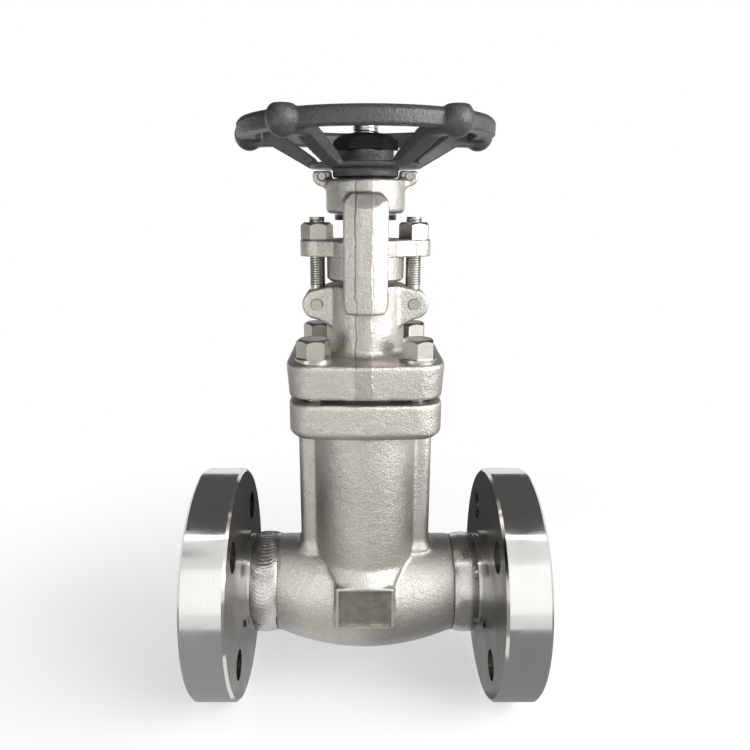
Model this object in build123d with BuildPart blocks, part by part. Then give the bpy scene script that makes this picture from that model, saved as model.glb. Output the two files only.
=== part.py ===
"""Bellows-sealed stop valve in forged stainless steel, with weld-neck flanges.

Frame: the origin is on the pipe axis in the bolting face of the inlet flange's rim,
just behind its raised face. +X runs from inlet to outlet along the pipe axis, and
+Z runs up along the stem.
The valve stands closed. All sizes are in millimetres.
"""
from build123d import *
from math import cos, pi
import os

os.makedirs("parts", exist_ok=True)

# Fits and clearances
run_fit = 0.1  # radial play of a turning or sliding fit
free_gap = 0.3  # play between loose pieces
bolt_play = 0.6  # radial play of a bolt in its through hole
seat_gap = 0.02  # the closed disc stands this far off its seat
cut_reach = 90.0  # longer than anything that such a cut goes through
full_turn = 360.0
hex_sides = 6

# Pipe run
face_to_face = 203.0
bore_r = 12.5
run_r = 29.5

# End flanges
flange_r = 70.0
rim_width = 25.0
rim_chamfer = 1.5
raised_face_r = 34.0
raised_face_height = 2.0
stem_x = face_to_face / 2 - raised_face_height
bolt_circle_r = 50.0
flange_hole_r = 9.0
flange_hole_count = 4
hub_step_r = 31.3
hub_step_width = 4.6

# Butt welds, measured from the stem axis
weld_inner_x = 53.0
weld_outer_x = 67.0
weld_root_inner_x = 58.5
weld_root_outer_x = 61.5
weld_root_r = 14.5
weld_crown = 0.8

# Body
belly_end_gap = 3.0
belly_r = 34.5
belly_drop = 5.5
end_bevel_r = 29.0
barrel_r = 31.0
rib_half_width = 38.2
rib_half_depth = 12.0
rib_edge_r = 5.0
rib_foot_spread = 2.4
rib_foot_top_z = 33.0
rib_foot_height = 5.0
body_flange_bottom_z = 105.9
body_flange_top_z = 125.7
body_flange_half = 41.0
body_flange_chamfer = 3.0
flange_corner_r = 14.0
flange_crown = 1.8
flange_band_half = 4.5

# Raised-border panel on the front of the body
panel_half_width = 17.0
panel_bottom_z = -11.5
panel_top_z = 15.0
panel_front_y = -34.2
panel_root_y = -22.0
panel_border = 1.6
panel_border_height = 0.9

# Passages and seat
chamber_r = 24.0
chamber_floor_z = 3.0
seat_top_z = 8.0
seat_bottom_z = -5.0
seat_outer_r = 15.5
seat_bore_r = 11.0
seat_lip_r = 13.6
lower_chamber_r = 13.0
lower_chamber_bottom_z = -24.0
port_r = 11.0
port_turn_x = 52.0
inlet_port_end_z = -16.0
inlet_port_end_x = 4.0
outlet_port_end_x = 19.0
outlet_port_end_z = 15.0

# Disc and its nut
disc_r = 14.0
disc_height = 18.0
disc_floor = 5.0
disc_socket_r = 9.0
disc_nut_height = 6.0
disc_edge = 1.0

# Stem
stem_r = 6.25
stem_top_z = 268.0
stem_chamfer = 1.2
button_r = 8.3
stop_collar_r = 8.6
stop_collar_height = 4.0
stem_lift = 9.0

# Bellows and the two rings welded to it
bellows_outer_r = 21.5
bellows_inner_r = 14.5
bellows_wall = 1.2
bellows_folds = 9
bellows_cuff = 3.0
bottom_ring_bottom_z = 40.0
bottom_ring_height = 5.0
bottom_ring_r = 16.5

# Joint between body and bonnet
clamp_seat_z = 118.7
clamp_r = 27.5
clamp_play = 0.2
gasket_height = 1.0
top_ring_height = 6.6
top_ring_bore_r = 7.6

# Bonnet flange
bonnet_bottom_z = 128.3
bonnet_flange_height = 18.6
bonnet_flange_half = 40.8
bonnet_draft = 4.0
bonnet_edge = 1.2
bolt_pitch_half = 27.5
bolt_r = 5.0
bolt_head_flats = 16.0
bolt_head_height = 10.0
bolt_head_turns = (12.0, 25.0, 5.0, 20.0)
bolt_end_z = 107.5
washer_r = 10.0
washer_height = 2.0

# Neck and packing box
neck_r = 21.5
neck_top_z = 184.5
neck_root_r = 24.0
neck_root_height = 2.5
stem_hole_r = 6.6
box_r = 11.0
box_bottom_z = 163.0
packing_washer_height = 2.0
packing_ring_height = 4.0
packing_ring_count = 3
packing_play = 0.05

# Feather key that keeps the stem from turning
key_width = 4.0
key_bottom_z = 130.0
key_height = 12.0
key_inner_x = 4.5
key_outer_x = 9.5

# Gland and gland flange
gland_bottom_z = 186.5
gland_r = 21.0
gland_height = 13.0
gland_chamfer = 1.5
gland_flange_height = 9.0
gland_flange_end_r = 9.2
gland_flange_mid_r = 21.6
gland_flange_hole_r = 8.0
gland_flange_edge = 0.8
eyebolt_slot_r = 4.5

# Eyebolts with their pins and nuts
eyebolt_x = 26.2
eyebolt_pin_z = 174.4
eyebolt_r = 4.0
eyebolt_top_z = 220.0
eye_r = 4.6
eye_half_width = 4.5
ear_r = 8.0
ear_half_depth = 12.0
ear_slot_half = 5.0
ear_root_half = 18.0
ear_root_top_z = 184.3
ear_root_bottom_z = 162.0
ear_pin_r = 2.4
ear_pin_head_r = 2.9
ear_pin_head_height = 0.8
gland_nut_flats = 15.2
gland_nut_height = 8.7
gland_nut_turns = (8.0, 20.0)
hex_chamfer_height = 1.6

# Yoke arms, one in front of the stem and one behind it
arm_half_width = 11.5
arm_face_half = 4.3
arm_facet_depth = 3.2
arm_inner_y = 23.6
arm_outer_y = 32.6
arm_foot_z = 171.5
arm_foot_top_z = 183.0
arm_shoulder_z = 224.0
arm_top_z = 231.5
arm_crown_y = 27.0
arm_inner_top_z = 223.5
arm_foot_cut = 1.8
arm_foot_cut_height = 3.5
arm_head_cut = 3.2
arm_head_cut_height = 4.2

# Yoke boss with its two small lugs
boss_r = 21.0
boss_bottom_z = 221.7
boss_top_z = 239.2
boss_top_chamfer = 0.9
boss_bottom_chamfer = 1.6
lug_x = 23.0
lug_z = 240.6
lug_r = 5.0
lug_top_z = 243.4
lug_half_depth = 3.0
lug_root_x = 17.8
lug_root_z = 231.0
lug_pin_r = 1.9
lug_pin_stand = 0.8

# Yoke nut: collar, barrel, hexagon for the wheel and threaded end
thrust_washer_height = 0.7
thrust_gap = 0.1
yoke_collar_r = 16.5
yoke_collar_height = 2.5
yoke_barrel_r = 12.0
wheel_hex_flats = 18.0
yoke_thread_r = 8.8
yoke_nut_top_z = 261.6

# Handwheel
hub_bottom_z = 239.9
hub_top_z = 253.4
hub_lower_r = 17.4
hub_upper_r = 15.0
wheel_arms = 5
wheel_turn = 91.7
rim_mid_r = 61.8
rim_half_depth = 4.7
rim_bottom_z = 259.3
rim_top_z = 267.8
rim_round = 2.2
lobe_circle_r = 66.2
lobe_r = 8.0
lobe_centre_z = 262.6
lobe_top_z = 269.0
spoke_half_width = 4.6
spoke_start_r = 24.0
spoke_root_r = 26.5
spoke_flat_r = 29.5
spoke_knee_r = 52.0
spoke_end_r = 62.0
spoke_low_z = 244.5
spoke_low_top_z = 250.6
spoke_high_z = 256.6
spoke_high_top_z = 265.4
web_top_z = 247.0
web_edge = 0.8

# Handwheel nut
wheel_nut_flats = 29.5
wheel_nut_height = 7.6
wheel_nut_dome_r = 13.2
wheel_nut_side_height = 4.2

# Positions that follow from the sizes above
pipe_section = Plane.XZ
stem_section = Plane(origin=(stem_x, 0, 0), x_dir=(1, 0, 0), z_dir=(0, -1, 0))
side_section = Plane(origin=(stem_x, 0, 0), x_dir=(0, 1, 0), z_dir=(1, 0, 0))
stem_axis = Axis((stem_x, 0, 0), (0, 0, 1))
button_bottom_z = seat_top_z + seat_gap + disc_floor + free_gap
disc_bottom_z = seat_top_z + seat_gap
belly_half_length = weld_inner_x - belly_end_gap
disc_top_z = disc_bottom_z + disc_height
disc_nut_bottom_z = disc_top_z - disc_nut_height
button_top_z = disc_nut_bottom_z - free_gap
bottom_ring_top_z = bottom_ring_bottom_z + bottom_ring_height
top_ring_bottom_z = clamp_seat_z + gasket_height
top_ring_top_z = top_ring_bottom_z + top_ring_height
spigot_bottom_z = top_ring_top_z + gasket_height
bonnet_top_z = bonnet_bottom_z + bonnet_flange_height
bolt_seat_z = bonnet_top_z + washer_height
packing_start_z = box_bottom_z + packing_washer_height
packing_end_z = packing_start_z + packing_ring_count * packing_ring_height
gland_top_z = gland_bottom_z + gland_height
gland_flange_top_z = gland_top_z + gland_flange_height
yoke_collar_top_z = boss_bottom_z - thrust_washer_height - thrust_gap
stop_collar_top_z = top_ring_bottom_z - stem_lift - free_gap
hex_corner_ratio = 1 / cos(pi / hex_sides)
wheel_nut_corner_r = wheel_nut_flats / 2 * hex_corner_ratio


def level(height):
    """Horizontal plane across the stem axis."""
    return Plane(origin=(stem_x, 0, height))


def front_plane(depth):
    """Upright plane in front of the stem axis, facing the front."""
    return Plane(origin=(stem_x, -depth, 0), x_dir=(1, 0, 0), z_dir=(0, -1, 0))


def clamp_outline(half):
    """Corners of a square flange whose front and back rise to a central band."""
    side = half - flange_crown
    return [
        (-flange_band_half, -half),
        (flange_band_half, -half),
        (half, -side),
        (half, side),
        (flange_band_half, half),
        (-flange_band_half, half),
        (-half, side),
        (-half, -side),
    ]


def clamp_corners(outline):
    """The four outer corners of such a flange."""
    return outline.vertices().filter_by(lambda corner: abs(corner.X) > 2 * flange_band_half)


def hexagon_blank(place, flats, bottom, height):
    """Turned blank with a chamfered top edge, from which a hexagon is cut."""
    corner = flats / 2 * hex_corner_ratio
    centre = Vector(stem_x + place[0], place[1], bottom)
    with BuildPart() as blank:
        with BuildSketch(Plane(origin=centre, x_dir=(1, 0, 0), z_dir=(0, -1, 0))):
            with BuildLine():
                Polyline(
                    (0, 0),
                    (corner, 0),
                    (corner, height - hex_chamfer_height),
                    (flats / 2 - hex_chamfer_height / 2, height),
                    (0, height),
                    close=True,
                )
            make_face()
        revolve(axis=Axis(centre, (0, 0, 1)))
    return blank.part


# Body: pipe run with its belly, barrel with side ribs, square flange and panel
with BuildPart() as body:
    with BuildSketch(Plane.YZ.offset(stem_x - belly_half_length)):
        Circle(run_r)
    with BuildSketch(Plane.YZ.offset(stem_x)):
        with Locations((0, -belly_drop)):
            Circle(belly_r)
    with BuildSketch(Plane.YZ.offset(stem_x + belly_half_length)):
        Circle(run_r)
    loft()
    with BuildSketch(stem_section):
        with BuildLine():
            Polyline(
                (belly_half_length, 0),
                (belly_half_length, run_r),
                (weld_inner_x, end_bevel_r),
                (weld_root_inner_x, weld_root_r),
                (weld_root_inner_x, 0),
                close=True,
            )
        make_face()
        mirror(about=Plane.YZ)
    revolve(axis=Axis((stem_x, 0, 0), (1, 0, 0)))
    with BuildSketch(level(-belly_drop)):
        Circle(barrel_r)
    extrude(amount=body_flange_bottom_z + belly_drop + body_flange_chamfer)
    with BuildSketch(level(0)):
        RectangleRounded(2 * rib_half_width, 2 * rib_half_depth, rib_edge_r)
    extrude(amount=body_flange_bottom_z + body_flange_chamfer)
    with BuildSketch(level(rib_foot_top_z - rib_foot_height)):
        RectangleRounded(
            2 * (rib_half_width + rib_foot_spread),
            2 * (rib_half_depth + rib_foot_spread),
            rib_edge_r + rib_foot_spread,
        )
    with BuildSketch(level(rib_foot_top_z)):
        RectangleRounded(2 * rib_half_width, 2 * rib_half_depth, rib_edge_r)
    loft()
    with BuildSketch(level(body_flange_bottom_z)) as body_flange_outline:
        with BuildLine():
            Polyline(*clamp_outline(body_flange_half - body_flange_chamfer), close=True)
        make_face()
        fillet(clamp_corners(body_flange_outline), flange_corner_r - body_flange_chamfer)
    with BuildSketch(level(body_flange_bottom_z + body_flange_chamfer)) as body_flange_step:
        with BuildLine():
            Polyline(*clamp_outline(body_flange_half), close=True)
        make_face()
        fillet(clamp_corners(body_flange_step), flange_corner_r)
    loft(ruled=True)
    with BuildSketch(level(body_flange_bottom_z + body_flange_chamfer)) as body_flange_wall:
        with BuildLine():
            Polyline(*clamp_outline(body_flange_half), close=True)
        make_face()
        fillet(clamp_corners(body_flange_wall), flange_corner_r)
    extrude(amount=body_flange_top_z - body_flange_bottom_z - body_flange_chamfer)
    with BuildSketch(front_plane(-panel_root_y)):
        with Locations((0, (panel_top_z + panel_bottom_z) / 2)):
            Rectangle(2 * panel_half_width, panel_top_z - panel_bottom_z)
    extrude(amount=panel_root_y - panel_front_y + panel_border_height)
    with BuildSketch(front_plane(-panel_front_y)):
        with Locations((0, (panel_top_z + panel_bottom_z) / 2)):
            Rectangle(
                2 * (panel_half_width - panel_border),
                panel_top_z - panel_bottom_z - 2 * panel_border,
            )
    extrude(amount=panel_border_height, mode=Mode.SUBTRACT)
    with BuildSketch(stem_section):
        with BuildLine():
            Polyline(
                (0, lower_chamber_bottom_z),
                (lower_chamber_r, lower_chamber_bottom_z),
                (lower_chamber_r, seat_bottom_z),
                (seat_outer_r, seat_bottom_z),
                (seat_outer_r, chamber_floor_z),
                (chamber_r, chamber_floor_z),
                (chamber_r, clamp_seat_z),
                (clamp_r, clamp_seat_z),
                (clamp_r, body_flange_top_z),
                (0, body_flange_top_z),
                close=True,
            )
        make_face()
    revolve(axis=stem_axis, mode=Mode.SUBTRACT)
    for side in (-1, 1):
        with BuildSketch(Plane.YZ.offset(stem_x + side * port_turn_x)):
            Circle(bore_r)
        extrude(amount=side * (weld_root_inner_x - port_turn_x), mode=Mode.SUBTRACT)
    inlet_path = Vector(port_turn_x - inlet_port_end_x, 0, inlet_port_end_z)
    with BuildSketch(Plane(origin=(stem_x - port_turn_x, 0, 0), z_dir=inlet_path)):
        Circle(port_r)
    extrude(amount=inlet_path.length, mode=Mode.SUBTRACT)
    outlet_path = Vector(outlet_port_end_x - port_turn_x, 0, outlet_port_end_z)
    with BuildSketch(Plane(origin=(stem_x + port_turn_x, 0, 0), z_dir=outlet_path)):
        Circle(port_r)
    extrude(amount=outlet_path.length, mode=Mode.SUBTRACT)
    with Locations(level(body_flange_top_z)):
        with GridLocations(2 * bolt_pitch_half, 2 * bolt_pitch_half, 2, 2):
            Hole(bolt_r, depth=body_flange_top_z - body_flange_bottom_z)
body.part.label = "body"
export_step(body.part, "parts/body.step")


# Inlet flange: rim, raised face, hub with a turned step, bevelled welding neck
with BuildPart() as inlet_flange:
    with BuildSketch(pipe_section):
        with BuildLine():
            Polyline(
                (-raised_face_height, bore_r),
                (-raised_face_height, raised_face_r),
                (0, raised_face_r),
                (0, flange_r - rim_chamfer),
                (rim_chamfer, flange_r),
                (rim_width - rim_chamfer, flange_r),
                (rim_width, flange_r - rim_chamfer),
                (rim_width, hub_step_r),
                (rim_width + hub_step_width, hub_step_r),
                (rim_width + hub_step_width, run_r),
                (stem_x - weld_outer_x, run_r),
                (stem_x - weld_root_outer_x, weld_root_r),
                (stem_x - weld_root_outer_x, bore_r),
                close=True,
            )
        make_face()
    revolve(axis=Axis.X)
    with Locations(Plane.YZ):
        with PolarLocations(bolt_circle_r, flange_hole_count, start_angle=full_turn / flange_hole_count / 2):
            Hole(flange_hole_r)
inlet_flange.part.label = "inlet_flange"
export_step(inlet_flange.part, "parts/inlet_flange.step")

# Outlet flange: the same forging turned to face the other way
with BuildPart() as outlet_flange:
    add(inlet_flange.part)
    mirror(about=Plane.YZ.offset(stem_x), mode=Mode.REPLACE)
outlet_flange.part.label = "outlet_flange"
export_step(outlet_flange.part, "parts/outlet_flange.step")

# Butt weld between body and inlet flange, crowned on the outside
with BuildPart() as inlet_weld:
    with BuildSketch(pipe_section):
        with BuildLine():
            Polyline(
                (stem_x - weld_inner_x, end_bevel_r),
                (stem_x - weld_root_inner_x, weld_root_r),
                (stem_x - weld_root_inner_x, bore_r),
                (stem_x - weld_root_outer_x, bore_r),
                (stem_x - weld_root_outer_x, weld_root_r),
                (stem_x - weld_outer_x, run_r),
            )
            ThreePointArc(
                (stem_x - weld_outer_x, run_r),
                (stem_x - (weld_inner_x + weld_outer_x) / 2, run_r + weld_crown),
                (stem_x - weld_inner_x, end_bevel_r),
            )
        make_face()
    revolve(axis=Axis.X)
inlet_weld.part.label = "inlet_weld"
export_step(inlet_weld.part, "parts/inlet_weld.step")

# Butt weld between body and outlet flange
with BuildPart() as outlet_weld:
    add(inlet_weld.part)
    mirror(about=Plane.YZ.offset(stem_x), mode=Mode.REPLACE)
outlet_weld.part.label = "outlet_weld"
export_step(outlet_weld.part, "parts/outlet_weld.step")

# Seat ring, pressed into the partition wall, with a narrow raised lip
with BuildPart() as seat_ring:
    with BuildSketch(stem_section):
        with BuildLine():
            Polyline(
                (seat_bore_r, seat_bottom_z),
                (seat_outer_r, seat_bottom_z),
                (seat_outer_r, chamber_floor_z),
                (seat_lip_r, chamber_floor_z),
                (seat_lip_r, seat_top_z),
                (seat_bore_r, seat_top_z),
                close=True,
            )
        make_face()
    revolve(axis=stem_axis)
seat_ring.part.label = "seat_ring"
export_step(seat_ring.part, "parts/seat_ring.step")

# Disc: flat sealing face below, socket for the stem button above
with BuildPart() as disc:
    with BuildSketch(stem_section):
        with BuildLine():
            Polyline(
                (0, disc_bottom_z),
                (disc_r - disc_edge, disc_bottom_z),
                (disc_r, disc_bottom_z + disc_edge),
                (disc_r, disc_top_z - disc_edge),
                (disc_r - disc_edge, disc_top_z),
                (disc_socket_r, disc_top_z),
                (disc_socket_r, disc_bottom_z + disc_floor),
                (0, disc_bottom_z + disc_floor),
                close=True,
            )
        make_face()
    revolve(axis=stem_axis)
disc.part.label = "disc"
export_step(disc.part, "parts/disc.step")

# Ring nut that holds the stem button in the disc
with BuildPart() as disc_nut:
    with BuildSketch(level(disc_nut_bottom_z)):
        Circle(disc_socket_r)
        Circle(stem_hole_r, mode=Mode.SUBTRACT)
    extrude(amount=disc_nut_height)
disc_nut.part.label = "disc_nut"
export_step(disc_nut.part, "parts/disc_nut.step")

# Stem: button, stop collar inside the bellows, keyway and chamfered top
with BuildPart() as stem:
    with BuildSketch(stem_section):
        with BuildLine():
            Polyline(
                (0, button_bottom_z),
                (button_r, button_bottom_z),
                (button_r, button_top_z),
                (stem_r, button_top_z),
                (stem_r, stop_collar_top_z - stop_collar_height),
                (stop_collar_r, stop_collar_top_z - stop_collar_height),
                (stop_collar_r, stop_collar_top_z),
                (stem_r, stop_collar_top_z),
                (stem_r, stem_top_z - stem_chamfer),
                (stem_r - stem_chamfer, stem_top_z),
                (0, stem_top_z),
                close=True,
            )
        make_face()
    revolve(axis=stem_axis)
    with BuildSketch(level(key_bottom_z - stem_lift - free_gap)):
        with Locations(((key_inner_x - free_gap + key_outer_x) / 2, 0)):
            Rectangle(key_outer_x - key_inner_x + free_gap, key_width + 2 * run_fit)
    extrude(amount=key_height + stem_lift + 2 * free_gap, mode=Mode.SUBTRACT)
stem.part.label = "stem"
export_step(stem.part, "parts/stem.step")

# Bellows: flat-sided folds between two short cuffs
fold_start_z = bottom_ring_top_z + bellows_cuff
fold_end_z = top_ring_bottom_z - bellows_cuff
fold_step = (fold_end_z - fold_start_z) / (2 * bellows_folds)
bellows_outside = [(bellows_inner_r, bottom_ring_top_z), (bellows_inner_r, fold_start_z)]
for fold in range(1, 2 * bellows_folds):
    crest = bellows_outer_r if fold % 2 else bellows_inner_r
    bellows_outside.append((crest, fold_start_z + fold * fold_step))
bellows_outside.append((bellows_inner_r, fold_end_z))
bellows_outside.append((bellows_inner_r, top_ring_bottom_z))
bellows_inside = [(r - bellows_wall, z) for r, z in reversed(bellows_outside)]
with BuildPart() as bellows:
    with BuildSketch(stem_section):
        with BuildLine():
            Polyline(*bellows_outside, *bellows_inside, close=True)
        make_face()
    revolve(axis=stem_axis)
bellows.part.label = "bellows"
export_step(bellows.part, "parts/bellows.step")

# Ring that closes the bellows at its lower end and is welded to the stem
with BuildPart() as bellows_bottom_ring:
    with BuildSketch(level(bottom_ring_bottom_z)):
        Circle(bottom_ring_r)
        Circle(stem_r, mode=Mode.SUBTRACT)
    extrude(amount=bottom_ring_height)
bellows_bottom_ring.part.label = "bellows_bottom_ring"
export_step(bellows_bottom_ring.part, "parts/bellows_bottom_ring.step")

# Ring that carries the bellows and is clamped between body and bonnet
with BuildPart() as bellows_top_ring:
    with BuildSketch(level(top_ring_bottom_z)):
        Circle(clamp_r - clamp_play)
        Circle(top_ring_bore_r, mode=Mode.SUBTRACT)
    extrude(amount=top_ring_height)
bellows_top_ring.part.label = "bellows_top_ring"
export_step(bellows_top_ring.part, "parts/bellows_top_ring.step")

# Gaskets below and above that ring
with BuildPart() as lower_gasket:
    with BuildSketch(level(clamp_seat_z)):
        Circle(clamp_r - clamp_play)
        Circle(chamber_r, mode=Mode.SUBTRACT)
    extrude(amount=gasket_height)
lower_gasket.part.label = "lower_gasket"
export_step(lower_gasket.part, "parts/lower_gasket.step")

with BuildPart() as upper_gasket:
    with BuildSketch(level(top_ring_top_z)):
        Circle(clamp_r - clamp_play)
        Circle(chamber_r, mode=Mode.SUBTRACT)
    extrude(amount=gasket_height)
upper_gasket.part.label = "upper_gasket"
export_step(upper_gasket.part, "parts/upper_gasket.step")

# Yoke arms, front and back: side profile with foot and sloped shoulder, three facets outside
with BuildPart() as yoke_arms:
    with BuildSketch(side_section):
        with BuildLine():
            Polyline(
                (0, arm_foot_z),
                (-arm_outer_y, arm_foot_z),
                (-arm_outer_y, arm_shoulder_z),
                (-arm_crown_y, arm_top_z),
                (-stem_hole_r, arm_top_z),
                (-stem_hole_r, arm_inner_top_z),
                (-arm_inner_y, arm_inner_top_z),
                (-arm_inner_y, arm_foot_top_z),
                (0, arm_foot_top_z),
                close=True,
            )
        make_face()
    extrude(amount=arm_half_width, both=True)
    with BuildSketch(level(arm_foot_z)):
        with BuildLine():
            Polyline(
                (-arm_half_width, 0),
                (-arm_half_width, arm_facet_depth - arm_outer_y),
                (-arm_face_half, -arm_outer_y),
                (arm_face_half, -arm_outer_y),
                (arm_half_width, arm_facet_depth - arm_outer_y),
                (arm_half_width, 0),
                close=True,
            )
        make_face()
    extrude(amount=arm_top_z - arm_foot_z, mode=Mode.INTERSECT)
    with BuildSketch(stem_section):
        with BuildLine():
            Polyline(
                (-arm_half_width, arm_foot_z + arm_foot_cut_height),
                (arm_foot_cut - arm_half_width, arm_foot_z),
                (arm_half_width - arm_foot_cut, arm_foot_z),
                (arm_half_width, arm_foot_z + arm_foot_cut_height),
                (arm_half_width, arm_top_z - arm_head_cut_height),
                (arm_half_width - arm_head_cut, arm_top_z),
                (arm_head_cut - arm_half_width, arm_top_z),
                (-arm_half_width, arm_top_z - arm_head_cut_height),
                close=True,
            )
        make_face()
    extrude(amount=cut_reach, mode=Mode.INTERSECT)
    mirror(about=Plane.XZ)

# Bonnet: square flange, neck, two yoke arms, boss, eyebolt ears and top lugs
with BuildPart() as bonnet:
    with BuildSketch(level(bonnet_bottom_z)) as bonnet_outline:
        with BuildLine():
            Polyline(*clamp_outline(bonnet_flange_half), close=True)
        make_face()
        fillet(clamp_corners(bonnet_outline), flange_corner_r)
    extrude(amount=bonnet_flange_height, taper=-bonnet_draft)
    chamfer(faces().sort_by(Axis.Z)[-1].edges(), bonnet_edge)
    with BuildSketch(level(spigot_bottom_z)):
        Circle(clamp_r - clamp_play)
    extrude(amount=bonnet_bottom_z - spigot_bottom_z)
    with BuildSketch(level(bonnet_top_z)):
        Circle(neck_root_r)
    with BuildSketch(level(bonnet_top_z + neck_root_height)):
        Circle(neck_r)
    loft()
    with BuildSketch(level(bonnet_top_z)):
        Circle(neck_r)
    extrude(amount=neck_top_z - bonnet_top_z)
    add(yoke_arms.part)
    with BuildSketch(stem_section):
        with BuildLine():
            Polyline(
                (0, boss_bottom_z),
                (boss_r - boss_bottom_chamfer, boss_bottom_z),
                (boss_r, boss_bottom_z + boss_bottom_chamfer),
                (boss_r, boss_top_z - boss_top_chamfer),
                (boss_r - boss_top_chamfer, boss_top_z),
                (0, boss_top_z),
                close=True,
            )
        make_face()
    revolve(axis=stem_axis)
    with BuildSketch(stem_section):
        for side in (-1, 1):
            with BuildLine():
                Polyline(
                    (side * ear_root_half, ear_root_bottom_z),
                    (side * eyebolt_x, eyebolt_pin_z - ear_r),
                    (side * eyebolt_x, eyebolt_pin_z + ear_r),
                    (side * ear_root_half, ear_root_top_z),
                    close=True,
                )
            make_face()
            with Locations((side * eyebolt_x, eyebolt_pin_z)):
                Circle(ear_r)
    extrude(amount=ear_half_depth, both=True)
    with BuildSketch(stem_section):
        for side in (-1, 1):
            with BuildLine():
                Polyline(
                    (side * lug_root_x, lug_root_z),
                    (side * lug_x, lug_z - lug_r),
                    (side * lug_x, lug_top_z),
                    (side * lug_root_x, lug_top_z),
                    close=True,
                )
            make_face()
            with Locations((side * lug_x, lug_z)):
                Circle(lug_r)
        with Locations((0, lug_top_z + lug_r)):
            Rectangle(2 * cut_reach, 2 * lug_r, mode=Mode.SUBTRACT)
    extrude(amount=lug_half_depth, both=True)
    with BuildSketch(level(boss_top_z)):
        Circle(lug_root_x)
    extrude(amount=lug_top_z - boss_top_z, mode=Mode.SUBTRACT)
    with BuildSketch(stem_section):
        with Locations((0, eyebolt_pin_z)):
            Rectangle(2 * cut_reach, 2 * (ear_r + ear_slot_half))
            Rectangle(2 * (neck_r + run_fit), 2 * (ear_r + ear_slot_half), mode=Mode.SUBTRACT)
    extrude(amount=ear_slot_half, both=True, mode=Mode.SUBTRACT)
    with BuildSketch(stem_section):
        with BuildLine():
            Polyline(
                (0, spigot_bottom_z),
                (stem_hole_r, spigot_bottom_z),
                (stem_hole_r, box_bottom_z),
                (box_r, box_bottom_z),
                (box_r, neck_top_z),
                (0, neck_top_z),
                close=True,
            )
        make_face()
    revolve(axis=stem_axis, mode=Mode.SUBTRACT)
    with BuildSketch(level(arm_inner_top_z - arm_facet_depth)):
        Circle(yoke_barrel_r + run_fit)
    extrude(amount=boss_top_z - arm_inner_top_z + arm_facet_depth, mode=Mode.SUBTRACT)
    with BuildSketch(level(key_bottom_z)):
        with Locations(((key_inner_x + key_outer_x) / 2, 0)):
            Rectangle(key_outer_x - key_inner_x, key_width)
    extrude(amount=key_height, mode=Mode.SUBTRACT)
    with Locations(level(bonnet_top_z)):
        with GridLocations(2 * bolt_pitch_half, 2 * bolt_pitch_half, 2, 2):
            Hole(bolt_r + bolt_play, depth=bonnet_flange_height)
    with BuildSketch(stem_section):
        with Locations((-eyebolt_x, eyebolt_pin_z), (eyebolt_x, eyebolt_pin_z)):
            Circle(ear_pin_r)
        with Locations((-lug_x, lug_z), (lug_x, lug_z)):
            Circle(lug_pin_r)
    extrude(amount=ear_half_depth, both=True, mode=Mode.SUBTRACT)
bonnet.part.label = "bonnet"
export_step(bonnet.part, "parts/bonnet.step")

# Bonnet bolts: tall hexagon heads, each left at its own turn
bolt_places = [
    (-bolt_pitch_half, -bolt_pitch_half),
    (bolt_pitch_half, -bolt_pitch_half),
    (-bolt_pitch_half, bolt_pitch_half),
    (bolt_pitch_half, bolt_pitch_half),
]
head_blanks = [
    hexagon_blank(place, bolt_head_flats, bolt_seat_z, bolt_head_height) for place in bolt_places
]
with BuildPart() as bonnet_bolts:
    for place, turn in zip(bolt_places, bolt_head_turns):
        with BuildSketch(level(bolt_seat_z)):
            with Locations(Location(place, turn)):
                RegularPolygon(bolt_head_flats / 2, hex_sides, major_radius=False)
        extrude(amount=bolt_head_height)
    add(head_blanks, mode=Mode.INTERSECT)
    with BuildSketch(level(bolt_end_z)):
        with Locations(*bolt_places):
            Circle(bolt_r)
    extrude(amount=bolt_seat_z - bolt_end_z)
bonnet_bolts.part.label = "bonnet_bolts"
export_step(bonnet_bolts.part, "parts/bonnet_bolts.step")

# Washers under the bolt heads
with BuildPart() as bonnet_washers:
    with BuildSketch(level(bonnet_top_z)):
        with Locations(*bolt_places):
            Circle(washer_r)
            Circle(bolt_r + free_gap, mode=Mode.SUBTRACT)
    extrude(amount=washer_height)
bonnet_washers.part.label = "bonnet_washers"
export_step(bonnet_washers.part, "parts/bonnet_washers.step")

# Feather key, held in the bonnet and sliding in the keyway of the stem
with BuildPart() as stem_key:
    with BuildSketch(level(key_bottom_z)):
        with Locations(((key_inner_x + key_outer_x) / 2, 0)):
            Rectangle(key_outer_x - key_inner_x, key_width)
    extrude(amount=key_height)
stem_key.part.label = "stem_key"
export_step(stem_key.part, "parts/stem_key.step")

# Washer at the bottom of the packing box
with BuildPart() as packing_washer:
    with BuildSketch(level(box_bottom_z)):
        Circle(box_r - run_fit)
        Circle(stem_hole_r, mode=Mode.SUBTRACT)
    extrude(amount=packing_washer_height)
packing_washer.part.label = "packing_washer"
export_step(packing_washer.part, "parts/packing_washer.step")

# Three packing rings round the stem
for number in range(packing_ring_count):
    with BuildPart() as packing_ring:
        with BuildSketch(level(packing_start_z + number * packing_ring_height)):
            Circle(box_r - packing_play)
            Circle(stem_r + packing_play, mode=Mode.SUBTRACT)
        extrude(amount=packing_ring_height)
    packing_ring.part.label = "packing_ring_" + str(number + 1)
    export_step(packing_ring.part, "parts/packing_ring_" + str(number + 1) + ".step")

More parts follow.
